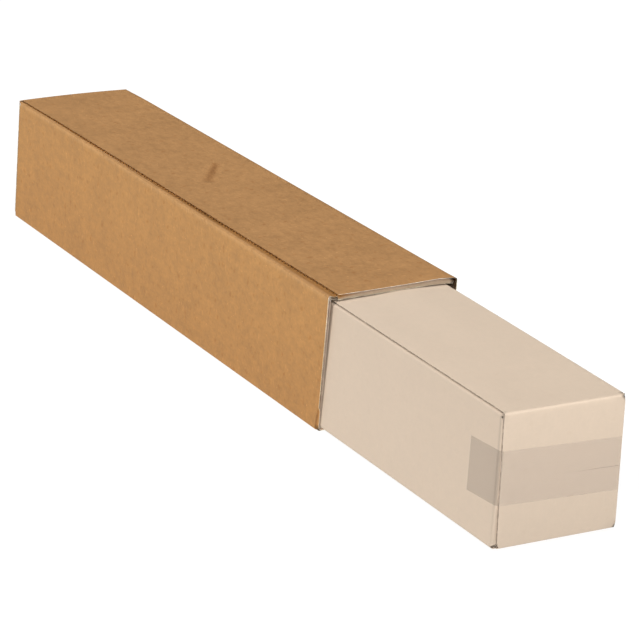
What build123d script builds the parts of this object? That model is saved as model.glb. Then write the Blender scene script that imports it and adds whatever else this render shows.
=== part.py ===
from build123d import *
import os

# A square mailing tube in two telescoping halves. Each half is one sheet of corrugated board,
# folded round four panels, glued along one long edge and closed at one end by four flaps.
# The inner half is drawn part of the way out, and a strip of tape holds its end flaps shut.
# The length runs along X: the closed end of the outer box is at -X and the taped end at +X.
# The glued long edge of both boxes is the upper one at -Y. All sizes are in millimetres.

# Board
board = 3.0                 # thickness of the corrugated board
fold_radius = 2.0           # outside rounding of a scored fold

# Outer box
outer_width = 135.0
outer_height = 135.0
outer_length = 683.0        # from the closed end to the middle of the mouth
mouth_lead_side = 4.0       # how far the mouth's glued side stands ahead of its other side
mouth_lead_top = 7.0        # how far its top edge stands ahead of its bottom edge

# Inner box and its fit in the outer box
inner_length = 690.0
side_clearance = 2.0        # mean gap between the side walls of the two boxes
slide_clearance = 0.5       # gap over the outer box's floor, and under its glue tab
inner_shift = 1.0           # the inner box lies this far off the middle, towards the glued side
drawn_out = 299.0           # how far the inner box stands out of the mouth's middle

# Glued long edge
tab_width = 35.0            # glue tab, measured from the outside of the side panel
tab_end_taper = 8.0         # how far the tab's ends are cut back at its free edge
outer_joint_gap = 2.0       # from the end of the fold's rounding to the top panel's cut edge
outer_joint_taper = 6.4     # how much wider that gap is at the outer box's mouth
inner_joint_gap = 0.3       # the same gap on the inner box
inner_joint_taper = 0.6     # how much wider it is at the inner box's open end

# End flaps
flap_seam = 1.0             # gap where two flaps meet
flap_side_gap = 1.0         # from the side of an outside flap to the outside of the side panel
flap_slack = 1.0            # from the side of an inside flap to the panel beside it
corner_notch_radius = 1.8   # slot left at each corner between two flaps

# Tape over the inner box's end flaps
tape_width = 50.0
tape_thickness = 0.1
tape_tail = 48.0            # length stuck to each side panel
tape_rise = 0.9             # how far the strip's middle lies above half the height
tape_tilt = 4.5             # how much lower the strip crosses the right edge than the left one
left_tail_drop = 3.2        # how much lower the left tail ends than it starts
right_tail_drop = 1.4       # how much lower the right tail ends than it starts

# Values worked out from the sizes above
inner_width = outer_width - 2 * board - 2 * side_clearance
inner_height = outer_height - 3 * board - 2 * slide_clearance
total_length = outer_length + drawn_out + tape_thickness
x_far = -total_length / 2
x_mouth = x_far + outer_length
x_end = x_mouth + drawn_out
mouth_reach = outer_length + (mouth_lead_side + mouth_lead_top) / 2
seat = Pos(x_end, -inner_shift, board + slide_clearance)
overcut = board             # how far a cutting tool reaches past what it cuts


def block(x, y, z):
    """A box between two limits along each axis."""
    size = (x[1] - x[0], y[1] - y[0], z[1] - z[0])
    middle = ((x[0] + x[1]) / 2, (y[0] + y[1]) / 2, (z[0] + z[1]) / 2)
    return Pos(*middle) * Box(*size)


def panels(width, height, length, joint_gap, joint_taper):
    """The sheet folded round the tube, from the back of the outside flaps to the open end."""
    left = -width / 2
    cut_edge = left + fold_radius + joint_gap
    outline = make_face(Polyline(
        (left, 0), (-left, 0), (-left, height), (cut_edge, height),
        (cut_edge, height - board), (left, height - board), close=True))
    folds = outline.vertices().filter_by(lambda v: abs(v.X) > -left - fold_radius / 2)
    hollow = Pos(0, height / 2) * Rectangle(width - 2 * board, height - 2 * board)
    section = fillet(folds, fold_radius) - hollow
    tube = extrude(Plane.YZ.offset(board) * section, length - board)
    # The top panel's cut edge runs a little out of line with the fold beside it
    gap = make_face(Polyline(
        (board, left), (board, cut_edge), (length, cut_edge + joint_taper), (length, left), close=True))
    return tube - extrude(Pos(0, 0, height - board) * gap, board + overcut)


def glue_tab(width, height, length):
    """The tab folded in from the side panel and glued under the top panel."""
    root = -width / 2 + board
    edge = -width / 2 + tab_width
    start = 2 * board
    outline = make_face(Polyline(
        (start, root), (start + tab_end_taper, edge), (length - tab_end_taper, edge), (length, root),
        close=True))
    return extrude(Pos(0, 0, height - 2 * board) * outline, board)


def outside_flaps(width, height):
    """Flaps hinged on the top and bottom panels, which meet half way up the end."""
    half = width / 2 - flap_side_gap
    side = Pos(board / 2, height / 2) * Rectangle(board, height)
    folds = side.vertices().filter_by(lambda v: v.X < board / 2)
    plate = extrude(Plane.XZ.offset(-half) * fillet(folds, fold_radius), 2 * half)
    seam = (height / 2 - flap_seam / 2, height / 2 + flap_seam / 2)
    return plate - block((-overcut, board), (-width, width), seam)


def inside_flaps(width, height):
    """Flaps hinged on the side panels and folded in first."""
    plate = block(
        (board, 2 * board), (board - width / 2, width / 2 - board),
        (board + flap_slack, height - 2 * board - flap_slack))
    return plate - block((board, 2 * board), (-flap_seam / 2, flap_seam / 2), (0, height))


def side_fold_rounding(width, height):
    """What the rounded folds at the closed end take off the two side panels."""
    square = Pos(board + fold_radius / 2, width / 2 - fold_radius / 2) * Rectangle(fold_radius, fold_radius)
    sliver = square - Pos(board + fold_radius, width / 2 - fold_radius) * Circle(fold_radius)
    cutter = extrude(sliver, height)
    return [cutter, mirror(cutter, about=Plane.XZ)]


def corner_notches(width, height):
    """The ends of the slots between neighbouring flaps."""
    notch = extrude(Plane.YZ * Circle(corner_notch_radius), board + fold_radius)
    return [Pos(0, y, z) * notch for y in (-width / 2, width / 2) for z in (0, height)]


def folded_box(width, height, length, joint_gap, joint_taper):
    """One half of the tube, closed at x = 0 and open at x = length."""
    box = panels(width, height, length, joint_gap, joint_taper) + glue_tab(width, height, length)
    box = box - side_fold_rounding(width, height)
    box = box + outside_flaps(width, height) + inside_flaps(width, height)
    return box - corner_notches(width, height)


def outer_box():
    """The outer half, with a mouth that is a little out of square."""
    box = folded_box(outer_width, outer_height, mouth_reach, outer_joint_gap, outer_joint_taper)
    slope = (1, mouth_lead_side / outer_width, -mouth_lead_top / outer_height)
    mouth = Plane(origin=(outer_length, 0, outer_height / 2), z_dir=slope)
    return Pos(x_far, 0, 0) * split(box, bisect_by=mouth, keep=Keep.BOTTOM)


def inner_box():
    """The inner half, with its closed end towards +X."""
    box = folded_box(inner_width, inner_height, inner_length, inner_joint_gap, inner_joint_taper)
    return seat * mirror(box, about=Plane.YZ)


def inner_end_tape():
    """One strip across the end, with a tail stuck to each side panel."""
    half = inner_width / 2
    half_strip = tape_width / 2
    middle = inner_height / 2 + tape_rise
    left_z = middle + tape_tilt / 2
    right_z = middle - tape_tilt / 2

    def tail(root_z, drop):
        """A tail that leaves the end at root_z, slants down and is cut square at its free end."""
        root = Vector(tape_thickness, root_z)
        free = Vector(-tape_tail, root_z - drop)
        square = (free - root).normalized().rotate(Axis.Z, 90) * half_strip
        upright = Vector(0, half_strip)
        return make_face(Polyline(root + upright, root - upright, free + square, free - square, close=True))

    across = make_face(Polyline(
        (-half, left_z - half_strip), (half, right_z - half_strip),
        (half, right_z + half_strip), (-half, left_z + half_strip), close=True))
    strip = extrude(Plane.YZ * across, tape_thickness)
    left_tail = extrude(Plane.XZ.offset(half) * tail(left_z, left_tail_drop), tape_thickness)
    right_tail = extrude(
        Plane.XZ.offset(-half - tape_thickness) * tail(right_z, right_tail_drop), tape_thickness)
    return seat * (strip + left_tail + right_tail)


os.makedirs("parts", exist_ok=True)
for make in (outer_box, inner_box, inner_end_tape):
    export_step(make(), f"parts/{make.__name__}.step")
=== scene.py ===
import math
from collections import namedtuple

import bmesh
import bpy
import numpy as np
from mathutils import Matrix, Vector


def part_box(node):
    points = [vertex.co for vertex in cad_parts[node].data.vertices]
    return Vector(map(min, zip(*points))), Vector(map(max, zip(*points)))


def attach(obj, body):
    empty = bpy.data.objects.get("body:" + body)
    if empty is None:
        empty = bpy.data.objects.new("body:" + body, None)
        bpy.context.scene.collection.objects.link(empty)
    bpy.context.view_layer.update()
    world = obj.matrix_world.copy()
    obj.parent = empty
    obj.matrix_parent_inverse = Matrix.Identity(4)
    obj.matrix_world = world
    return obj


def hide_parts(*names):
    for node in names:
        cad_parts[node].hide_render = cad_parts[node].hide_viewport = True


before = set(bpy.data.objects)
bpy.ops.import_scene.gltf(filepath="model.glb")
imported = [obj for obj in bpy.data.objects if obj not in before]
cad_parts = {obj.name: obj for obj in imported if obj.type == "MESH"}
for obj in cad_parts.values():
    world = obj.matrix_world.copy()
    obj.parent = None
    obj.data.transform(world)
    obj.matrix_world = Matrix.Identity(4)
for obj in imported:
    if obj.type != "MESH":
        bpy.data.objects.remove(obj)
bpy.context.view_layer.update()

# Sizes in metres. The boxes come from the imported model, and these values repeat the part's own.
MM = 0.001
OUTER_LOW, OUTER_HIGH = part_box("outer_box")
INNER_LOW, INNER_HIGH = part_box("inner_box")
BOARD = 3.0 * MM
FOLD_RADIUS = 2.0 * MM
OUTER_LENGTH = 683.0 * MM
INNER_LENGTH = INNER_HIGH.x - INNER_LOW.x
MOUTH_LEAD_SIDE = 4.0 * MM
MOUTH_LEAD_TOP = 7.0 * MM
TAB_WIDTH = 35.0 * MM
TAB_END_TAPER = 8.0 * MM
OUTER_JOINT_GAP = 2.0 * MM
OUTER_JOINT_TAPER = 6.4 * MM
INNER_JOINT_GAP = 0.3 * MM
INNER_JOINT_TAPER = 0.6 * MM
DRAWN_OUT = 299.0 * MM
FLAP_SEAM = 1.0 * MM
FLAP_SIDE_GAP = 1.0 * MM
FLAP_SLACK = 1.0 * MM

# End flaps as they lie
SEAM_TILT = 3.4 * MM        # how much lower the seam between the outside flaps is at its right end
SEAM_GAP = 0.02 * MM        # gap in the seam at its left end
SEAM_OPENING = 0.35 * MM    # how much wider it is at its right end
SEAM_OPENS = (0.45, 0.95)   # between which shares of the way to the right it opens
SIDE_PRESS = 0.9 * MM       # how far the outside flaps' side edges are pressed in
SIDE_PRESS_REACH = 4.0 * MM
BELOW_FOLD = 3.0 * MM       # how far from its fold an outside flap is first pressed in fully
CORNER_NOTCH = 1.6 * MM     # how far the slot between two flaps reaches into the fold
NOTCH_PLACE = 3.0 * MM      # how far along the folded flap that slot is deepest
NOTCH_HALF_WIDTH = 1.6 * MM

# Make-up of the board: two liners with a fluted sheet between them, whose flutes run round the tube
LINER = 0.32 * MM
FLUTE_SHEET = 0.24 * MM
FLUTE_PITCH = 5.96 * MM
CRUSHED_EDGE = 4.0 * MM     # how far beside a fold the flutes are pressed flat
TOP_SWELL = 0.6             # share by which the top panel's board is thicker where its open end was cut
TOP_SWELL_SIDES = 0.5       # how much more it swells at the panel's sides than in the middle
TOP_SWELL_REACH = 7.0 * MM
CUT_REACH = 15.0 * MM       # how far from the joint the top panel's cut edge is drawn out of line
CUT_RAG = 0.25 * MM         # unevenness of that cut edge
CUT_RAG_LENGTH = 9.0 * MM
CUT_RAG_SEED = 3
BESIDE_CUT = 0.8 * MM       # how far beside that cut edge the mesh has its next points

# Tape over the inner half's end flaps, with heights measured from the underside of the inner half
TAPE_WIDTH = 50.0 * MM
TAPE_THICKNESS = 0.1 * MM
TAPE_LIFT = 0.02 * MM
TAPE_TAIL = 48.0 * MM
TAPE_LEFT_Z = 65.65 * MM
TAPE_RIGHT_Z = 61.15 * MM
TAPE_LEFT_DROP = 3.2 * MM
TAPE_RIGHT_DROP = 1.4 * MM
TAPE_BRIDGE = 4.0 * MM      # how far from the end's edges the tape lies flat again
TAPE_STEP = 8.0 * MM
TAPE_EXTRA = (2.7 * MM, 3.0 * MM, 0.5 * MM)     # one more row of points beside the end's left edge
TAPE_ROWS = 21

# How fine a sheet is meshed along the flat sheet's length and across it. Flutes are straight across.
Detail = namedtuple("Detail", "along across")
OUTSIDE = Detail(4.0 * MM, 12.0 * MM)
INSIDE = Detail(17.0 * MM, 12.0 * MM)
FLUTES = Detail(FLUTE_PITCH / 4, 1.0)
END_STEP = 0.8 * MM         # the outside's step near the tube's two ends
END_REACH = 10.0 * MM
ARC_STEPS = 4
SHARP_ANGLE = math.radians(40)
FAR_AWAY = 1.0              # more than any panel's width

# Material slots of a board mesh
FACE, CUT, FLUTE, LINING = 0, 1, 2, 3

# The glued joint: the gap beside the fold and how it widens, how far the fold stands up, and how far the
# top panel's cut edge is pressed down
Joint = namedtuple("Joint", "gap taper bulge press")

# The two faces of a stretch of board, each point's place on the flat sheet, the flutes' phase there as a
# length, and how far the flutes stand up
Patch = namedtuple("Patch", "outside inside places phase strength")

# Points in a half's own frame, and how far they are from its sides, its top and the tab's upper face
Place = namedtuple("Place", "x y z to_left to_right to_top to_tab")
ON_FACE = 0.1 * MM          # points nearer to a face than this lie on it


def smooth(value):
    """0 below 0 and 1 above 1, with a smooth way between."""
    value = np.clip(value, 0, 1)
    return value * value * (3 - 2 * value)


def fade_in(distance, start, end):
    """0 up to the start and 1 from the end on."""
    return smooth((distance - start) / (end - start))


def fade_out(distance, start, end):
    """1 up to the start and 0 from the end on."""
    return smooth((end - distance) / (end - start))


def bell(value):
    """1 at 0, falling off to either side over a width of about 1."""
    return np.exp(-value * value)


def spot(across, up, centre, radius):
    """1 at a place in the section, falling off round it over about the radius."""
    return bell(np.hypot(across - centre[0], up - centre[1]) / radius)


def ripple(x, length, seed, terms=5):
    """An uneven line between about -1 and 1, with waves of about the given length."""
    shortest, longest = 0.6, 1.7
    draw = np.random.default_rng(seed)
    waves = draw.uniform(shortest, longest, terms)
    phases = draw.uniform(0, 2 * math.pi, terms)
    return sum(np.sin(2 * math.pi * x / (length * w) + p) for w, p in zip(waves, phases)) / terms


def stops(start, end, step, fine=None):
    """Values from start to end about one step apart, with one beside each end. fine is a finer stretch:
    from, to and step."""
    way = math.copysign(1, end - start)
    first, last = start + way * CRUSHED_EDGE, end - way * CRUSHED_EDGE
    middle = np.linspace(first, last, max(2, int(abs(last - first) / step) + 2))
    if fine:
        middle = [v for v in middle if not fine[0] < v < fine[1]] + list(np.arange(*fine))
    return np.array(sorted([start, *middle, end], reverse=way < 0))


def level(start, end, z, step, fine=None):
    """Stations along a level run of the section."""
    y = stops(start, end, step, fine)
    return np.stack([y, np.full_like(y, z)], -1)


def upright(y, start, end, step, fine=None):
    """Stations along an upright run of the section."""
    return level(start, end, y, step, fine)[:, ::-1]


def arc(centre, start_angle):
    """Stations along a quarter turn of a fold, without its two ends."""
    angle = np.radians(start_angle + np.linspace(0, 90, ARC_STEPS + 1)[1:-1])
    return np.array(centre) + FOLD_RADIUS * np.stack([np.cos(angle), np.sin(angle)], -1)


def distance_along(points):
    """How far along a line of points each of them is."""
    return np.concatenate([[0], np.cumsum(np.linalg.norm(np.diff(points, axis=0), axis=1))])


def grid(*columns):
    """A grid of points from their coordinates, which may be rows, columns or grids."""
    return np.stack(np.broadcast_arrays(*columns), -1)


class Half:
    """One half of the tube in its own frame: closed at x = 0, standing on z = 0, glued at its upper -Y
    edge. fine gives finer stretches of the top panel and of the glued side for some details."""

    # Places of some runs in the section
    TAB, SIDE, TOP = 0, 2, 8

    def __init__(self, low, high, open_end, joint, fine, flap_inset=(0.0, 0.0)):
        self.width = high.y - low.y
        self.height = high.z - low.z
        self.left, self.right = -self.width / 2, self.width / 2
        self.joint = joint
        self.cut_edge = self.left + FOLD_RADIUS + joint.gap
        self.open_end = open_end
        self.fine = fine
        self.flap_inset = flap_inset

    def section(self, step, top_fine, side_fine):
        """Stations round the folded sheet, from the tab's free edge to the top panel's cut edge."""
        left, right, top, t, r = self.left, self.right, self.height, BOARD, FOLD_RADIUS
        tab = top - t
        top_run = level(right - r, self.cut_edge, top, step, top_fine)
        top_run = np.insert(top_run, -1, (self.cut_edge + BESIDE_CUT, top), axis=0)
        # Each run: its outside, the limits of its inside, and where it starts behind the closed end
        return (
            (level(left + TAB_WIDTH, left + r, tab, step), (left + t, tab - t), (right, tab - t), 2 * t),
            (arc((left + r, tab - r), 90), (left + t, tab - t), (left + t, tab - t), t + r / 2),
            (upright(left, tab - r, r, step, side_fine), (left + t, t), (left + t, tab - t), 2 * t),
            (arc((left + r, r), 180), (left + t, t), (left + t, t), t + r / 2),
            (level(left + r, right - r, 0, step), (left + t, t), (right - t, t), t),
            (arc((right - r, r), 270), (right - t, t), (right - t, t), 2 * t),
            (upright(right, r, top - r, step), (right - t, t), (right - t, top - t), 2 * t),
            (arc((right - r, top - r), 0), (right - t, top - t), (right - t, top - t), 2 * t),
            (top_run, (left, top - t), (right - t, top - t), t))

    def panels(self, detail):
        """The four panels and the tab."""
        runs = self.section(detail.across, *self.fine.get(detail, (None, None)))
        number = np.concatenate([np.full(len(run[0]), k) for k, run in enumerate(runs)])
        start = np.concatenate([np.full(len(run[0]), run[3]) for run in runs])
        outside = np.concatenate([run[0] for run in runs])
        inside = np.concatenate([np.clip(run[0], run[1], run[2]) for run in runs])
        length = self.open_end(0.0, self.height / 2)
        if detail is OUTSIDE:
            ends = np.arange(0, END_REACH, END_STEP)
            middle = np.arange(END_REACH, length - END_REACH, detail.along)
            x = np.concatenate([ends, middle, length - ends[::-1]])
        else:
            x = np.linspace(0, length, int(length / detail.along))
        share = x[:, None] / length
        front, back = (self.sweep(points, number, start, share) for points in (outside, inside))
        to_mouth = self.open_end(front[..., 1], front[..., 2]) - front[..., 0]
        swell = TOP_SWELL * (number == self.TOP) * fade_out(to_mouth, 0, TOP_SWELL_REACH)
        swell = swell * (1 + TOP_SWELL_SIDES * (front[..., 1] / self.right) ** 2)
        back = back + (back - front) * swell[..., None]
        strength = np.concatenate([self.standing(run[0], k) for k, run in enumerate(runs)])
        places = grid(front[..., 0], distance_along(outside))
        # Half a flute further on, the top panel's fluted sheet meets the outer liner where it was cut
        phase = to_mouth + FLUTE_PITCH / 2 * (number == self.TOP)
        return Patch(front, back, places, phase, strength[None])

    def sweep(self, points, number, start, share):
        """Carries a section along the tube, with the tab's slanted ends and the joint's slanted cut edge."""
        y, z = points.T
        across_tab = np.clip((y - self.left - BOARD) / (TAB_WIDTH - BOARD), 0, 1)
        taper = np.where(number == self.TAB, TAB_END_TAPER * across_tab, 0)
        first = start + taper
        last = self.open_end(y, z) - taper
        x = first + (last - first) * share
        near_cut = np.where(number == self.TOP, fade_out(y - self.cut_edge, 0, CUT_REACH), 0)
        shift = self.joint.taper * share + CUT_RAG * ripple(x, CUT_RAG_LENGTH, CUT_RAG_SEED) * near_cut
        rise = self.bulge(y, z, number, share) - self.pressed(z, near_cut)
        return grid(x, y + near_cut * shift, z + rise)

    def bulge(self, y, z, number, share):
        """How far the glued side's upper fold stands up, and the tab until it meets the top panel."""
        gap = self.joint.gap + self.joint.taper * share
        in_tab = fade_out(y - self.left - FOLD_RADIUS, 0, gap)
        in_side = np.where(number <= self.SIDE, z / (self.height - BOARD), 0)
        return self.joint.bulge * np.where(number == self.TAB, in_tab, in_side)

    def pressed(self, z, near_cut):
        """How far the top panel's outside is pressed down at its cut edge."""
        return self.joint.press * near_cut ** 2 * fade_in(z, self.height - BOARD, self.height)

    def standing(self, points, number):
        """How far the flutes stand up at each station of a run: not at all in a fold."""
        if number % 2:
            return np.zeros(len(points))
        run = distance_along(points)
        before = run if number != self.TAB else run + FAR_AWAY
        after = run[-1] - run if number != self.TOP else run + FAR_AWAY
        return fade_in(np.minimum(before, after), 0, CRUSHED_EDGE)

    def outside_flap(self, detail, upper):
        """A flap hinged on the top or bottom panel. The two meet about half way up the end."""
        t, r, top = BOARD, FOLD_RADIUS, self.height
        down = stops(top - r, top / 2 + FLAP_SEAM / 2, detail.along)
        path = np.concatenate([[(t, top), (r, top)], arc((r, top - r), 90), grid(0, down)])
        half = self.right - FLAP_SIDE_GAP
        across = stops(-half, half, detail.across)
        right = 0.5 + across / self.width
        pressed = SIDE_PRESS * fade_out(half - np.abs(across), 0, SIDE_PRESS_REACH)
        slot = CORNER_NOTCH * bell((distance_along(path) - NOTCH_PLACE) / NOTCH_HALF_WIDTH)
        notch = slot[:, None] * (right if upper else 1)
        seam = top / 2 - SEAM_TILT * right
        gap = SEAM_GAP + SEAM_OPENING * fade_in(right, *SEAM_OPENS)
        reach = (top - seam if upper else seam) - gap / 2
        faces = []
        for points in (path, np.clip(path, (t, 0), (t, top - t))):
            drop = (top - points[:, 1:]) * reach / (top / 2 - FLAP_SEAM / 2)
            depth = np.minimum(points[:, :1] + pressed * fade_in(drop, 0, BELOW_FOLD), t)
            z = top - drop if upper else drop
            inset = np.interp(z / top, (0, 1), self.flap_inset) * (1 - right)
            faces.append(grid(depth, across * (1 - notch / half) + inset, z))
        return self.flap_patch(faces, path, across)

    def inside_flap(self, detail, side):
        """A flap hinged on a side panel and folded in first. side is -1 on the left, 1 on the right."""
        t, r = BOARD, FOLD_RADIUS
        inward = stops(r, self.right - FLAP_SEAM / 2, detail.along)
        path = np.concatenate([[(2 * t, 0), (t + r, 0)], arc((t + r, r), 180)[::-1], grid(t, inward)])
        hinge_top = self.height - r - (t if side < 0 else 0)
        folded = fade_in(distance_along(path), 0, 3 * r)[:, None]
        low = r + (t + FLAP_SLACK - r) * folded
        high = hinge_top + (self.height - 2 * t - FLAP_SLACK - hinge_top) * folded
        z = low + (high - low) * np.linspace(0, 1, len(stops(0, self.height, detail.across)))
        faces = []
        for points in (path, np.clip(path, (2 * t, t), (2 * t, self.right))):
            faces.append(grid(points[:, :1], side * (self.right - points[:, 1:]), z))
        return self.flap_patch(faces, path, z)

    def flap_patch(self, faces, path, across):
        """A flap with its place on the flat sheet, and flat flutes at its hinge."""
        run = distance_along(path)[:, None]
        strength = fade_in(run, 2 * FOLD_RADIUS, 2 * FOLD_RADIUS + CRUSHED_EDGE)
        return Patch(faces[0], faces[1], grid(run, across), run, strength)

    def stretches(self):
        """The five stretches of the folded sheet."""
        return (
            self.panels,
            lambda detail: self.outside_flap(detail, True), lambda detail: self.outside_flap(detail, False),
            lambda detail: self.inside_flap(detail, -1), lambda detail: self.inside_flap(detail, 1))

    def place(self, points):
        """Where points of this half lie in it."""
        x, y, z = points.T
        return Place(x, y, z, y - self.left, self.right - y, self.height - z, z - self.height + BOARD)


class Sheets:
    """Collects thin closed sheets, each a grid of points with a second grid behind it, into one mesh.
    wear and mark give the points' wear and colour factors, and flat how far the flutes are pressed flat."""

    def __init__(self, wear, mark, to_frame, flat=lambda points: 0 * points[:, 0]):
        self.wear, self.mark, self.to_frame, self.flat = wear, mark, to_frame, flat
        self.points, self.places, self.marks, self.faces, self.slots = [], [], [], [], []
        self.count = 0

    def add(self, front, back, places, face_slot, edge_slot):
        """One closed sheet. places gives each point's place on the flat sheet."""
        rows, columns = front.shape[:2]
        points = np.concatenate([front.reshape(-1, 3), back.reshape(-1, 3)])
        self.marks.append(self.mark(points))
        self.points.append(self.to_frame(self.wear(points)))
        self.places.append(np.tile(places.reshape(-1, 2), (2, 1)))
        near = self.count + np.arange(rows * columns).reshape(rows, columns)
        far = near + rows * columns
        self.count += 2 * rows * columns
        for side in (near, far):
            cells = grid(side[:-1, :-1], side[1:, :-1], side[1:, 1:], side[:-1, 1:])
            self.keep(cells.reshape(-1, 4), face_slot)
        for edge in (np.s_[0], np.s_[-1], np.s_[:, 0], np.s_[:, -1]):
            a, b = near[edge], far[edge]
            self.keep(grid(a[:-1], a[1:], b[1:], b[:-1]), edge_slot)

    def keep(self, quads, slot):
        """Takes up some faces with one material slot."""
        self.faces.append(quads)
        self.slots.append(np.full(len(quads), slot, dtype=np.int32))

    def add_board(self, make):
        """The two liners of a stretch of board, and the fluted sheet between them."""
        patch = make(OUTSIDE)
        self.add(in_board(patch, 0), in_board(patch, 0, LINER), patch.places, FACE, CUT)
        patch = make(INSIDE)
        self.add(in_board(patch, 1, -LINER), in_board(patch, 1), patch.places, LINING, CUT)
        patch = make(FLUTES)
        half_sheet = FLUTE_SHEET / 2
        rise = np.maximum(thickness(patch) / 2 - LINER - half_sheet, 0) * patch.strength
        rise = rise * (1 - self.flat(patch.outside.reshape(-1, 3)).reshape(rise.shape))
        wave = -rise * np.cos(2 * math.pi * patch.phase / FLUTE_PITCH)
        front, back = (in_board(patch, 0.5, wave + offset) for offset in (-half_sheet, half_sheet))
        self.add(front, back, patch.places, FLUTE, CUT)

    def build(self, name, materials):
        """Makes the object, with the places as its UV map and the marks as an attribute."""
        mesh = bpy.data.meshes.new(name)
        mesh.from_pydata(np.concatenate(self.points).tolist(), [], np.concatenate(self.faces).tolist())
        mesh.polygons.foreach_set("material_index", np.concatenate(self.slots))
        corner = np.empty(len(mesh.loops), dtype=np.int32)
        mesh.loops.foreach_get("vertex_index", corner)
        layer = mesh.uv_layers.new(name="sheet")
        layer.data.foreach_set("uv", np.concatenate(self.places)[corner].ravel().astype(np.float32))
        mark = mesh.attributes.new("mark", "FLOAT_VECTOR", "POINT")
        mark.data.foreach_set("vector", np.concatenate(self.marks).ravel().astype(np.float32))
        for material in materials:
            mesh.materials.append(material)
        shape = bmesh.new()
        shape.from_mesh(mesh)
        bmesh.ops.recalc_face_normals(shape, faces=shape.faces)
        shape.to_mesh(mesh)
        shape.free()
        mesh.shade_smooth()
        mesh.set_sharp_from_angle(angle=SHARP_ANGLE)
        piece = bpy.data.objects.new(name, mesh)
        bpy.context.scene.collection.objects.link(piece)
        return piece


def thickness(patch):
    """The board's thickness at each point of a stretch."""
    return np.linalg.norm(patch.inside - patch.outside, axis=-1)


def in_board(patch, share, offset=0.0):
    """Points in the board: a share of the way from its outside to its inside, and an offset further in."""
    way = share + offset / np.maximum(thickness(patch), 2 * LINER)
    return patch.outside + (patch.inside - patch.outside) * way[..., None]


# The outer half

# Dent in the top panel, between two points of it as seen from above
DENT_FROM = np.array([288.3, 26.2]) * MM
DENT_TO = np.array([340.5, -11.3]) * MM
DENT_HALF_WIDTH = 4.2 * MM
DENT_DEPTH = 0.9 * MM
DENT_FADE = 16.0 * MM           # length over which each end of it fades
DENT_CHANGE = 0.5               # how much wider and shallower it gets along its length

# Crease in the glued side's lower corner at the mouth
CREASE_AT = 1.3 * MM            # how far from the mouth it is at CREASE_HEIGHT
CREASE_HEIGHT = 23.0 * MM
CREASE_SLOPE = 2.6 / 19         # how much further it is for each unit down
CREASE_TOP = (19.0 * MM, 25.0 * MM)     # heights between which it fades
CREASE_DEPTH = 1.5 * MM
CREASE_FOLD = 1.0 * MM          # length over which the board bends there
CREASE_HALF_WIDTH = 0.55 * MM   # of the painted shade along it

# Other wear: how far things have moved, and how far from the end or the mouth that reaches
FAR_CROWN = 1.0 * MM            # crown of the top panel at the far end
FAR_CROWN_REACH = 120.0 * MM
FAR_LEAN = 6.0 * MM             # how far the foot of the far end stands out
FAR_SINK = 1.2 * MM             # how far the top left edge sinks there
FAR_REACH = 60.0 * MM
FAR_PINCH = 1.5 * MM            # how far the top of the right side is pressed in there
FAR_PINCH_REACH = 30.0 * MM
LEFT_LEAN = 0.4 * MM            # how far the top of the left side leans to the right
RIGHT_LEAN = -2.0 * MM          # how far the top of the right side does at the far end
RIGHT_LEAN_GAIN = 4.0 * MM      # and how much more at the mouth
LEFT_RISE = 0.4 * MM            # how far the top left edge rises at the mouth
RIGHT_RISE = 1.7 * MM           # how far the top right edge does
FLARE = np.array([2.0, 2.8, -1.3]) * MM     # the way that the mouth's upper right corner is bent
FLARE_REACH = 14.0 * MM
FLARE_WIDTH = 13.0 * MM
BOW = 1.6 * MM                  # how far the side's edge is bowed out below that corner
BOW_REACH = 9.0 * MM
BOW_TOP = 12.0 * MM
LID_SAG = 0.7 * MM              # sag of the top panel's edge at the mouth
LID_SAG_REACH = 25.0 * MM

# Finer stretches of the mesh, round the dent and the crease: from, to and step
DENT_STRETCH = (-28.0 * MM, 44.0 * MM)
CREASE_STRETCH = (6.0 * MM, 30.0 * MM)
FINE_STEP = 2.2 * MM
FINE_FLUTE_STEP = 9.0 * MM
OUTER_FINE = {
    OUTSIDE: ((*DENT_STRETCH, FINE_STEP), (*CREASE_STRETCH, FINE_STEP)),
    FLUTES: ((*DENT_STRETCH, FINE_FLUTE_STEP), None)}


def outer_mouth(y, z):
    """Where the outer half ends, on a plane that leans a little both ways."""
    width, height = OUTER_HIGH.y - OUTER_LOW.y, OUTER_HIGH.z - OUTER_LOW.z
    return OUTER_LENGTH - MOUTH_LEAD_SIDE * y / width + MOUTH_LEAD_TOP * (z / height - 0.5)


OUTER_JOINT = Joint(gap=OUTER_JOINT_GAP, taper=OUTER_JOINT_TAPER, bulge=2.4 * MM, press=0.0)
outer = Half(OUTER_LOW, OUTER_HIGH, outer_mouth, OUTER_JOINT, OUTER_FINE)


def dent(points, spread=1.0):
    """About 1 along the middle of the dent in the top panel, 0 away from it."""
    way = DENT_TO - DENT_FROM
    length = np.linalg.norm(way)
    offset = points[:, :2] - (DENT_FROM + DENT_TO) / 2
    along = offset @ way / length
    beside = offset @ np.array([-way[1], way[0]]) / length
    on_top = points[:, 2] > outer.height - 1.5 * BOARD
    change = DENT_CHANGE * np.clip(along / length, -0.7, 0.7)
    half_width = spread * DENT_HALF_WIDTH * (1 + change)
    ends = fade_out(np.abs(along), (length - DENT_FADE) / 2, (length + DENT_FADE) / 2)
    return bell(beside / half_width) * ends * (1.05 - change) * on_top


def crease_from_mouth(z):
    """How far from the mouth the crease is at a height."""
    return CREASE_AT + CREASE_SLOPE * (CREASE_HEIGHT - z)


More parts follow.
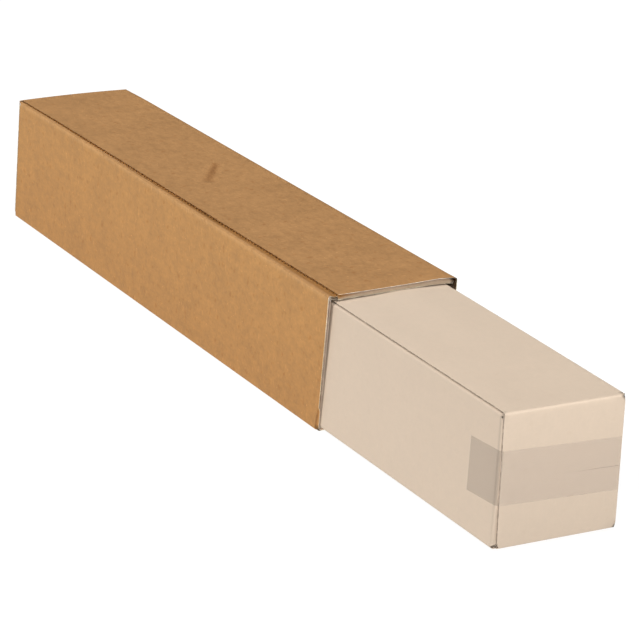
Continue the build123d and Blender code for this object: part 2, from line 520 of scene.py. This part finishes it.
def outer_wear(points):
    """What use has done to the outer half's shape."""
    x, y, z = points.T
    along = x / OUTER_LENGTH
    up = z / outer.height
    right = 0.5 + y / outer.width
    left = 1 - right
    at_far = bell(x / FAR_REACH)
    near_top = fade_in(z, outer.height - 4 * BOARD, outer.height - 2 * BOARD)
    crown = FAR_CROWN * np.exp(-x / FAR_CROWN_REACH) * (1 - (2 * y / outer.width) ** 2) * near_top
    right_lean = RIGHT_LEAN + RIGHT_LEAN_GAIN * along - FAR_PINCH * bell(x / FAR_PINCH_REACH)
    lean = up * (LEFT_LEAN * left + right_lean * right)
    rise = up ** 2 * ((LEFT_RISE * along - FAR_SINK * at_far) * left + RIGHT_RISE * along * right)
    # At the mouth the upper right corner is bent, the top panel sags and the lower left corner is creased
    to_mouth = outer_mouth(y, z) - x
    near_right = fade_out(outer.right - y, 0, FLARE_WIDTH)
    corner = fade_out(to_mouth, 0, FLARE_REACH) * near_right * up ** 1.5
    bow = BOW * fade_out(to_mouth, 0, BOW_REACH) * near_right * up * fade_in(outer.height - z, 0, BOW_TOP)
    sag = LID_SAG * 4 * right * left * fade_out(to_mouth, 0, LID_SAG_REACH) * near_top
    past_crease = crease_from_mouth(z) - to_mouth
    crease = CREASE_DEPTH * fade_in(past_crease, 0, CREASE_FOLD) * fade_out(z, *CREASE_TOP)
    crease = crease * np.clip(1 - (y - outer.left) / BOARD, 0, 1)
    worn = points + np.multiply.outer(corner, FLARE)
    worn[:, 0] -= FAR_LEAN * at_far * (1 - up)
    worn[:, 1] += lean + bow + crease
    worn[:, 2] += crown + rise - sag - DENT_DEPTH * dent(points)
    return worn


def outer_mark(points):
    """Factors on the outer half's colour: its folds here, with a painted highlight, partly wear, along the
    glued side's upper fold and painted shade on the upper right one, and the rest from the functions below.
    """
    at = outer.place(points)
    to_mouth = outer_mouth(at.y, at.z) - at.x
    # Painted highlight along the glued side's upper fold, partly wear, and painted shade on the rounded upper
    # right fold
    fold_highlight_and_wear = spot(at.to_left, at.to_tab, (1.4 * MM, -0.2 * MM), 1.25 * MM) * fade_in(to_mouth, 0, 2 * MM)
    lower_fold = spot(at.to_left, at.z, (0, 0), 3 * MM)
    shaded_right_fold = spot(at.to_right, at.to_top, (0, 0), 1.6 * MM)
    folds = 0.06 * lower_fold - 0.3 * shaded_right_fold
    tones = 1 + np.multiply.outer(fold_highlight_and_wear, (0.48, 0.78, 1.5)) + folds[:, None]
    for marks in (panel_marks(at), joint_marks(at), mouth_marks(at, to_mouth), dent_shading(points)):
        for gain, held in marks.values():
            tones = tones * (1 + np.multiply.outer(held, gain))
    return tones


# Each mark on the outer half: what it adds to red, green and blue, and how far it holds at each point

def panel_marks(at):
    """Tones of whole panels: painted shade that makes the top panel darker and cooler than the sides, and a
    painted gradient that makes the glued side lighter upwards.
    """
    return {
        # Painted shade: the top panel darker and cooler than the sides
        "top panel": ((-0.12, -0.085, 0.06), at.to_top < BOARD / 2),
        # Painted light: the glued side lighter upwards
        "glued side, painted lighter upwards": (
            (0.04, 0.06, 0.08), (at.to_left < ON_FACE) * (2 * at.z / outer.height - 1))}


def joint_marks(at):
    """The glued edge: painted shade on the board's core in the cut, on the cut edge and on the tab in the gap
    below it.
    """
    past_cut = at.y - outer.cut_edge - OUTER_JOINT_TAPER * at.x / OUTER_LENGTH
    gap_side = -0.4 * MM
    core = fade_out(past_cut, 3 * MM, 6 * MM) * fade_in(at.to_top, 0, LINER) * (at.to_tab > ON_FACE)
    tab = fade_in(at.to_left, 2.2 * MM, 4.7 * MM) * (at.to_tab > -ON_FACE)
    return {
        # Painted shade in the joint's gap: on the core, on the cut edge and on the tab
        "core": ((-0.15, -0.45, -0.75), core * (past_cut > gap_side)),
        "cut edge": ((-0.22, -0.34, -0.48), (np.abs(past_cut) < 0.3 * MM) * (at.to_top < BOARD)),
        "painted shade on the tab in the gap": ((-0.26, -0.32, -0.42), tab * (past_cut < gap_side))}


def mouth_marks(at, to_mouth):
    """The cut edge at the mouth, and painted shade in its upper right corner, at the right end of its top
    edge, along the crease and at the foot of its lower left corner.
    """
    depth = np.minimum.reduce([at.to_left, at.to_right, at.to_top, at.z])
    in_edge = fade_in(depth, LINER, 2 * LINER) * fade_out(to_mouth, 3 * MM, 6 * MM)
    rim = fade_out(depth, LINER, 2 * LINER) * fade_out(to_mouth, 0.3 * MM, 0.6 * MM)
    # The corner's painted shade lies inside its fold only
    beyond_arc = np.hypot(np.maximum(FOLD_RADIUS - at.to_right, 0), np.maximum(FOLD_RADIUS - at.to_top, 0))
    shaded_corner = fade_in(FOLD_RADIUS - beyond_arc, 0, LINER) * fade_out(to_mouth, 20 * MM, 40 * MM)
    shaded_corner = shaded_corner * (np.abs(at.to_right - 0.6 * BOARD) < 0.42 * BOARD)
    # Painted shade on the top edge's cut near the upper right corner
    edge_end_shade = fade_out(at.to_right, 7 * MM, 14 * MM) * fade_out(to_mouth, 0.7 * MM, 1.4 * MM)
    # Painted shade along the crease's fold line
    crease = bell((to_mouth - crease_from_mouth(at.z)) / CREASE_HALF_WIDTH) * fade_out(at.z, *CREASE_TOP)
    # Painted shade at the foot of the lower left corner
    corner_shade = fade_out(np.hypot(at.to_left, at.z), 1.8 * MM, 3.6 * MM)
    return {
        "pale core, less so at the top": (
            (0.42, 0.42, 0.52), in_edge * np.where(at.to_left < at.to_top, 1, 0.15)),
        "inner liner": ((-0.4, -0.4, -0.4), in_edge * fade_in(depth, 0.6 * BOARD, 0.8 * BOARD)),
        "worn rim of the outer liner": ((0.30, 0.36, 0.45), rim),
        "painted shade in the upper right corner": (
            (-0.92, -0.96, -0.985), shaded_corner * fade_in(at.z, 2 / 3 * outer.height, outer.height)),
        "painted shade on the right end of the top edge": ((-0.4, -0.4, -0.4), edge_end_shade * (at.to_top < BOARD)),
        "crease": ((-0.5, -0.58, -0.65), crease * (at.to_left < ON_FACE)),
        "painted shade in the lower left corner": (
            (-0.72, -0.72, -0.72), corner_shade * fade_out(to_mouth, 2.5 * MM, 5 * MM))}


def dent_shading(points):
    """Painted shade along the dent's hollow, and a painted highlight round it."""
    core = dent(points)
    return {"core": ((-0.25, -0.33, -0.41), core), "rim": ((0.16, 0.16, 0.16), dent(points, 2.0) - core)}


def outer_to_frame(points):
    """From the outer half's own frame to the model's frame."""
    return points + np.array([OUTER_LOW.x, (OUTER_LOW.y + OUTER_HIGH.y) / 2, OUTER_LOW.z])


# The inner half

FLAP_INSET = (3.5 * MM, -0.8 * MM)  # how far the end flaps' left edge stands back at its foot and its top
INNER_JOINT = Joint(gap=INNER_JOINT_GAP, taper=INNER_JOINT_TAPER, bulge=0.4 * MM, press=0.9 * MM)
inner = Half(INNER_LOW, INNER_HIGH, lambda y, z: INNER_LENGTH + 0 * y, INNER_JOINT, {}, FLAP_INSET)

# Wear of the inner half. Three values are for the taped end, the mouth at rest and the open end.
INNER_STAGES = (0.0, DRAWN_OUT, INNER_LENGTH)
TOP_LEAN = (-0.5 * MM, 2.2 * MM, -0.6 * MM)     # how far the top leans to the right
TOP_RISE = (0.0, 0.4 * MM, 0.0)
DRAWN_SHARE = (1.0, 1.0, 0.0)                   # how far the wear of the drawn-out part holds
LEFT_FOOT = np.array([0.0, -0.6, -0.38]) * MM           # how far it has moved in the drawn-out part
LEFT_FOOT_AT_END = np.array([2.0, -0.3, 0.0]) * MM      # and how much further at the taped end
RIGHT_FOOT_AT_END = np.array([0.0, 0.0, 0.6]) * MM
RIGHT_TOP_AT_END = np.array([0.0, -1.0, -0.3]) * MM
CROWN = 1.5 * MM                                # crown of the top panel
CROWN_MIDDLE, CROWN_HALF_WIDTH = 0.62, 0.22     # shares of the width from the left
CROWN_STARTS = (60.0 * MM, 220.0 * MM)          # distances from the taped end

# Colour of the inner half and the tape
SLOT_AT, SLOT_RADIUS = (1.8 * MM, 2.5 * MM), 2.2 * MM   # painted shade in the slots at the end's right corners
END_STRIP_AT, END_STRIP_SLANT = 3.4 * MM, 2.2 * MM      # painted shade strip beside the end, and how it slants
END_STRIP_HALF_WIDTH = 1.6 * MM
TAPE_GAP_LIGHT_EDGE = (22.0 * MM, 26.0 * MM)      # distances from the tape's middle between which the painted light in the gap under it fades
TAPE_TONE, TAPE_LEFT_TONE, TAPE_END_LOSS = 0.95, 0.55, 0.3


def inner_wear(points):
    """What use has done to the inner half's shape."""
    x, y, z = points.T
    up = z / inner.height
    right = 0.5 + y / inner.width
    drawn = np.interp(x, INNER_STAGES, DRAWN_SHARE)
    at_end = (1 - np.clip(x / DRAWN_OUT, 0, 1)) ** 2
    near_top = fade_in(z, inner.height - 2 * BOARD, inner.height - BOARD)
    crown = CROWN * bell((right - CROWN_MIDDLE) / CROWN_HALF_WIDTH) * fade_in(x, *CROWN_STARTS)
    left_foot = (1 - up) * (1 - right)
    moves = (
        (drawn * left_foot, LEFT_FOOT), (at_end * left_foot, LEFT_FOOT_AT_END),
        (at_end * (1 - up) * right, RIGHT_FOOT_AT_END), (at_end * up * right, RIGHT_TOP_AT_END))
    worn = points + sum(np.multiply.outer(held, way) for held, way in moves)
    worn[:, 1] += up * np.interp(x, INNER_STAGES, TOP_LEAN)
    worn[:, 2] += up * np.interp(x, INNER_STAGES, TOP_RISE) + crown * drawn * near_top
    return worn


def inner_mark(points):
    """Factors on the inner half's colour, with red, green and blue alike: mostly painted light and shade."""
    at = inner.place(points)
    up = at.z / inner.height
    on_end = fade_out(at.x, 0, BOARD)
    strip = bell((at.x - END_STRIP_AT - END_STRIP_SLANT * up) / END_STRIP_HALF_WIDTH) * (at.to_left < 5 * MM)
    # Painted light in the gap under the tape at the end's left edge
    film = fade_out(np.abs(at.z - TAPE_LEFT_Z), *TAPE_GAP_LIGHT_EDGE) * (np.abs(at.to_left - 3.3 * MM) < 2.6 * MM)
    gains = {
        "painted highlight on the fold above the end": 0.06 * spot(at.x, at.to_top, (0, 0), 2.5 * MM),
        "painted shade on the fold beside the tab": -0.048 * spot(at.to_left, at.to_tab, (1 * MM, 0), 2 * MM),
        "painted shade strip beside the end": -0.2 * strip,
        "painted light in the gap under the tape": 0.35 * film * (np.abs(at.x - 2.1 * MM) < 0.9 * MM),
        # Painted shade: the whole end darker, more so towards its foot
        "end, painted shade that grows towards its foot": on_end * (0.16 * (up - 0.5) - 0.085)}
    # Painted shade in the slots at the end's right corners
    slots = spot(at.to_right, at.to_top, SLOT_AT, SLOT_RADIUS) + spot(at.to_right, at.z, SLOT_AT, SLOT_RADIUS)
    tone = (1 + sum(gains.values())) * (1 - 0.92 * np.clip(2.2 * slots, 0, 1) * (at.x < 2.2 * BOARD))
    tone = tone - 0.03 * (at.to_left < 0.5 * MM) * (1 - np.clip(at.x / DRAWN_OUT, 0, 1))
    return grid(tone, tone, tone)


def tape_mark(points):
    """Factors on the tape's colour: darker on the glued side, most of all beside the end."""
    on_left = points[:, 1] < inner.left + 2.5 * MM
    beside_end = bell((points[:, 0] - 3 * MM) / (4 * MM))
    tone = np.where(on_left, TAPE_LEFT_TONE - TAPE_END_LOSS * beside_end, TAPE_TONE)
    return grid(tone, tone, tone)


def inner_to_frame(points):
    """From the inner half's own frame, which looks the other way, to the model's frame."""
    turned = points * np.array([-1, 1, 1])
    return turned + np.array([INNER_HIGH.x, (INNER_LOW.y + INNER_HIGH.y) / 2, INNER_LOW.z])


def tape_sheet(sheets):
    """One strip across the inner half's end, with a tail on each side panel."""
    left, right = inner.left, inner.right
    tail = stops(TAPE_TAIL, TAPE_BRIDGE, TAPE_STEP)
    extra = (left + TAPE_EXTRA[0], left + TAPE_EXTRA[1], TAPE_EXTRA[2])
    face = stops(left + TAPE_BRIDGE / 2, right - TAPE_BRIDGE / 2, TAPE_STEP, extra)
    path = np.concatenate([grid(tail, left), grid(0.0, face), grid(tail[::-1], right)])
    out = np.concatenate([grid(0 * tail, -1.0), grid(-1.0, 0 * face), grid(0 * tail, 1.0)])
    run = distance_along(path)
    knots = [0, TAPE_TAIL, TAPE_TAIL + inner.width, run[-1]]
    heights = [TAPE_LEFT_Z - TAPE_LEFT_DROP, TAPE_LEFT_Z, TAPE_RIGHT_Z, TAPE_RIGHT_Z - TAPE_RIGHT_DROP]
    middle = np.interp(run, knots, heights)
    across = np.linspace(-TAPE_WIDTH / 2, TAPE_WIDTH / 2, TAPE_ROWS)
    sides = []
    for lift in (TAPE_THICKNESS, TAPE_LIFT):
        xy = path + out * lift
        sides.append(grid(xy[:, :1], xy[:, 1:], middle[:, None] + across))
    sheets.add(sides[0], sides[1], grid(run[:, None], across), 0, 0)


# Materials

class Shader:
    """A material's node tree, with short calls for the nodes used here."""

    def __init__(self, name):
        self.material = bpy.data.materials.new(name)
        self.material.use_nodes = True
        self.tree = self.material.node_tree
        self.surface = self.tree.nodes["Principled BSDF"]
        self.sheet = self.add("UVMap", uv_map="sheet").outputs[0]

    def add(self, kind, inputs=None, **settings):
        """A new node with some settings, and values or links on its inputs."""
        node = self.tree.nodes.new("ShaderNode" + kind)
        for name, value in settings.items():
            setattr(node, name, value)
        for key, value in (inputs or {}).items():
            self.set(node.inputs[key], value)
        return node

    def set(self, socket, value):
        """Links a socket or sets its value."""
        if isinstance(value, bpy.types.NodeSocket):
            self.tree.links.new(value, socket)
        else:
            socket.default_value = value

    def finish(self, **values):
        """Links or sets the surface's own inputs, and gives the material."""
        for name, value in values.items():
            self.set(self.surface.inputs[name.replace("_", " ")], value)
        return self.material

    def math(self, operation, a, b):
        """The result of a calculation with two values."""
        return self.add("Math", {0: a, 1: b}, operation=operation).outputs[0]

    def noise(self, along, across, detail=2.0, shift=0.0):
        """Noise with grains of the given size along the flat sheet and across it, from about 0 to 1."""
        place = self.add("Mapping", {0: self.sheet, 1: (shift, shift, 0), 3: (1 / along, 1 / across, 1)})
        inputs = {"Vector": place.outputs[0], "Scale": 1.0, "Detail": detail}
        return self.add("TexNoise", inputs, noise_dimensions="2D").outputs[0]

    def flecks(self, kind):
        """Scattered flecks: 0 on most of the sheet, 1 in a fleck."""
        noise = self.noise(kind.along, kind.across, 1.0, kind.shift)
        return self.add("MapRange", {0: noise, 1: kind.least, 2: kind.most}).outputs[0]

    def mix(self, factor, a, b, kind="MIX"):
        """A mix of two colours."""
        node = self.add("Mix", data_type="RGBA", blend_type=kind)
        for index, value in ((0, factor), (6, a), (7, b)):
            self.set(node.inputs[index], value)
        return node.outputs[2]

    def marked(self, colour):
        """A colour times the mesh's own factors."""
        mark = self.add("Attribute", attribute_name="mark").outputs["Vector"]
        return self.mix(1.0, colour, mark, "MULTIPLY")

    def total(self, *parts):
        """The sum of several (noise, weight) parts, each taken about its middle."""
        sum_so_far = 0.5
        for noise, weight in parts:
            centred = self.math("SUBTRACT", noise, 0.5)
            sum_so_far = self.math("ADD", sum_so_far, self.math("MULTIPLY", centred, weight))
        return sum_so_far

    def relief(self, strength, height):
        """A fine bump."""
        return self.add("Bump", {"Strength": strength, "Distance": 0.1 * MM, "Height": height}).outputs[0]


# Flecks in paper: their size along the flat sheet and across it, the noise at which they start and are
# full, that noise's shift, and their tone and warmth
Fleck = namedtuple("Fleck", "along across least most shift tone warm")
FLECKS = (
    Fleck(6.5 * MM, 8.0 * MM, least=0.66, most=0.80, shift=11.0, tone=0.62, warm=0.25),
    Fleck(2.4 * MM, 11.0 * MM, least=0.70, most=0.80, shift=19.0, tone=1.45, warm=0.0),
    Fleck(3.2 * MM, 3.4 * MM, least=0.77, most=0.83, shift=29.0, tone=1.8, warm=0.0))
PAPER_ROUGHNESS, PAPER_ROUGHNESS_SPREAD = 0.62, 0.3


def shade(colour, factor, warm=0.0):
    """A colour made lighter or darker, and warmer."""
    return tuple(min(1.0, c * factor * (1 + warm * w)) for c, w in zip(colour, (1, 0, -1))) + (1.0,)


def board_face(name, colour, spread, fleck, bump, gloss=0.25):
    """Liner paper: short fibres, mottle, soft clouds and a few flecks over one colour."""
    shader = Shader(name)
    fibres = shader.noise(4.2 * MM, 2.8 * MM)
    mottle = shader.noise(12 * MM, 8 * MM, shift=7.0)
    clouds = shader.noise(40 * MM, 60 * MM, shift=3.0)
    tone = shader.total((fibres, 0.60), (mottle, 0.70), (clouds, 0.42))
    paper = shader.mix(tone, shade(colour, 1 - spread), shade(colour, 1 + spread))
    for kind in FLECKS:
        amount = shader.math("MULTIPLY", shader.flecks(kind), fleck)
        paper = shader.mix(amount, paper, shade(colour, kind.tone, kind.warm))
    roughness = shader.math("ADD", PAPER_ROUGHNESS, shader.math("MULTIPLY", tone, PAPER_ROUGHNESS_SPREAD))
    relief = shader.relief(bump, shader.total((fibres, 0.4), (mottle, 0.8)))
    return shader.finish(
        Base_Color=shader.marked(paper), Roughness=roughness, Normal=relief, Specular_IOR_Level=gloss)


def paper_edge(name, colour, spread):
    """Cut edges of paper: pale fibres with darker breaks."""
    shader = Shader(name)
    breaks = shader.noise(5 * MM, 9 * MM, shift=5.0)
    fibres = shader.noise(1 * MM, 1.5 * MM)
    tone = shader.total((breaks, 2.5), (fibres, 0.6))
    paper = shader.mix(tone, shade(colour, 1 - spread), shade(colour, 1 + spread))
    return shader.finish(Base_Color=shader.marked(paper), Roughness=0.95, Specular_IOR_Level=0.0)


def clear_tape(name, colour, spread):
    """Satin clear film."""
    shader = Shader(name)
    film = shader.noise(18 * MM, 3 * MM, shift=2.0)
    tone = shader.mix(film, shade(colour, 1 - spread), shade(colour, 1 + spread))
    return shader.finish(
        Base_Color=shader.marked(tone), Roughness=0.32, Normal=shader.relief(0.08, film), Alpha=0.12)


KRAFT = (0.450, 0.228, 0.077)
KRAFT_CUT = (0.80, 0.68, 0.50)
KRAFT_FLUTE = (0.56, 0.42, 0.29)
KRAFT_LINING = (0.72, 0.60, 0.48)
PALE = (0.628, 0.506, 0.392)
PALE_CUT = (0.70, 0.58, 0.47)
PALE_FLUTE = (0.50, 0.40, 0.31)
FILM = (0.63, 0.54, 0.47)

# In the order of the board's material slots
kraft_materials = (
    board_face("kraft_liner", KRAFT, spread=0.22, fleck=0.42, bump=0.12),
    paper_edge("kraft_cut_edge", KRAFT_CUT, spread=0.35),
    board_face("kraft_flute", KRAFT_FLUTE, spread=0.12, fleck=0.2, bump=0.2, gloss=0.0),
    board_face("kraft_lining", KRAFT_LINING, spread=0.12, fleck=0.2, bump=0.2))
pale_materials = (
    board_face("pale_liner", PALE, spread=0.035, fleck=0.05, bump=0.02),
    paper_edge("pale_cut_edge", PALE_CUT, spread=0.25),
    board_face("pale_flute", PALE_FLUTE, spread=0.1, fleck=0.1, bump=0.2, gloss=0.0),
    board_face("pale_lining", PALE, spread=0.035, fleck=0.05, bump=0.02))
tape_materials = (clear_tape("clear_film", FILM, spread=0.06),)


# The three pieces

FLAT_ROUND_DENT = 5.0       # how many times as wide as the dent the flutes are pressed flat under it

outer_sheets = Sheets(outer_wear, outer_mark, outer_to_frame, lambda points: dent(points, FLAT_ROUND_DENT))
inner_sheets = Sheets(inner_wear, inner_mark, inner_to_frame)
tape_sheets = Sheets(inner_wear, tape_mark, inner_to_frame)
for half, sheets in ((outer, outer_sheets), (inner, inner_sheets)):
    for make in half.stretches():
        sheets.add_board(make)
tape_sheet(tape_sheets)

pieces = (
    (outer_sheets.build("outer_board", kraft_materials), "outer", "outer_box", "brown_board"),
    (inner_sheets.build("inner_board", pale_materials), "inner", "inner_box", "pale_board"),
    (tape_sheets.build("end_tape", tape_materials), "inner", "inner_end_tape", "clear_tape"))
for piece, body, node, slot in pieces:
    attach(piece, body)
    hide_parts(node)
    print(piece.name, sum(len(p.vertices) - 2 for p in piece.data.polygons), "triangles")


# Floor, light and camera

FLOOR_SIZE = 20.0
FLOOR_DROP = 0.3 * MM
FLOOR_GLOW = 0.9
FLOOR_COLOUR = (0.15, 0.15, 0.15, 1)
WHITE = (1, 1, 1, 1)
SKY_STRENGTH = 0.12

# Lamps: strength, apparent width in degrees and the way towards them
Lamp = namedtuple("Lamp", "name strength width towards")
LAMPS = (
    Lamp("key", strength=1.82, width=6, towards=(-0.05, -0.65, 0.758)),
    Lamp("fill", strength=2.73, width=70, towards=(0.764, -0.046, 0.643)))

CAMERA_AT = Vector((2430.0, -1391.2, 1046.0)) * MM
CAMERA_AIM = Vector((0.0, 41.61, 30.69)) * MM
CAMERA_ROLL = math.radians(3.234)
CAMERA_LENS = 170.08        # with the sensor's width below, both in millimetres
CAMERA_SENSOR = 36.0


def floor():
    """A plain pale floor, which glows so that shadows on it stay faint."""
    bpy.ops.mesh.primitive_plane_add(size=FLOOR_SIZE, location=(0, 0, -FLOOR_DROP))
    plane = bpy.context.object
    plane.name = "floor"
    material = Shader("floor_white").finish(
        Base_Color=FLOOR_COLOUR, Roughness=1.0, Specular_IOR_Level=0.0,
        Emission_Color=WHITE, Emission_Strength=FLOOR_GLOW)
    plane.data.materials.append(material)


def light():
    """An even white room, a key light from above the glued side and a broad fill from the taped end."""
    world = bpy.data.worlds.new("studio")
    bpy.context.scene.world = world
    world.use_nodes = True
    sky = world.node_tree.nodes["Background"]
    sky.inputs["Color"].default_value = WHITE
    sky.inputs["Strength"].default_value = SKY_STRENGTH
    for lamp in LAMPS:
        data = bpy.data.lights.new(lamp.name, "SUN")
        data.energy = lamp.strength
        data.angle = math.radians(lamp.width)
        sun = bpy.data.objects.new(lamp.name, data)
        sun.rotation_euler = Vector(lamp.towards).to_track_quat("Z", "Y").to_euler()
        bpy.context.scene.collection.objects.link(sun)
    bpy.context.scene.view_settings.view_transform = "Standard"


def camera():
    """The photograph's view."""
    forward = (CAMERA_AIM - CAMERA_AT).normalized()
    level_right = forward.cross(Vector((0, 0, 1))).normalized()
    level_up = level_right.cross(forward)
    right = math.cos(CAMERA_ROLL) * level_right + math.sin(CAMERA_ROLL) * level_up
    up = right.cross(forward)
    data = bpy.data.cameras.new("view")
    data.lens = CAMERA_LENS
    data.sensor_width = CAMERA_SENSOR
    eye = bpy.data.objects.new("view", data)
    axes = Matrix((right, up, -forward)).transposed().to_4x4()
    eye.matrix_world = Matrix.Translation(CAMERA_AT) @ axes
    bpy.context.scene.collection.objects.link(eye)
    bpy.context.scene.camera = eye


floor()
light()
camera()

bpy.context.view_layer.update()
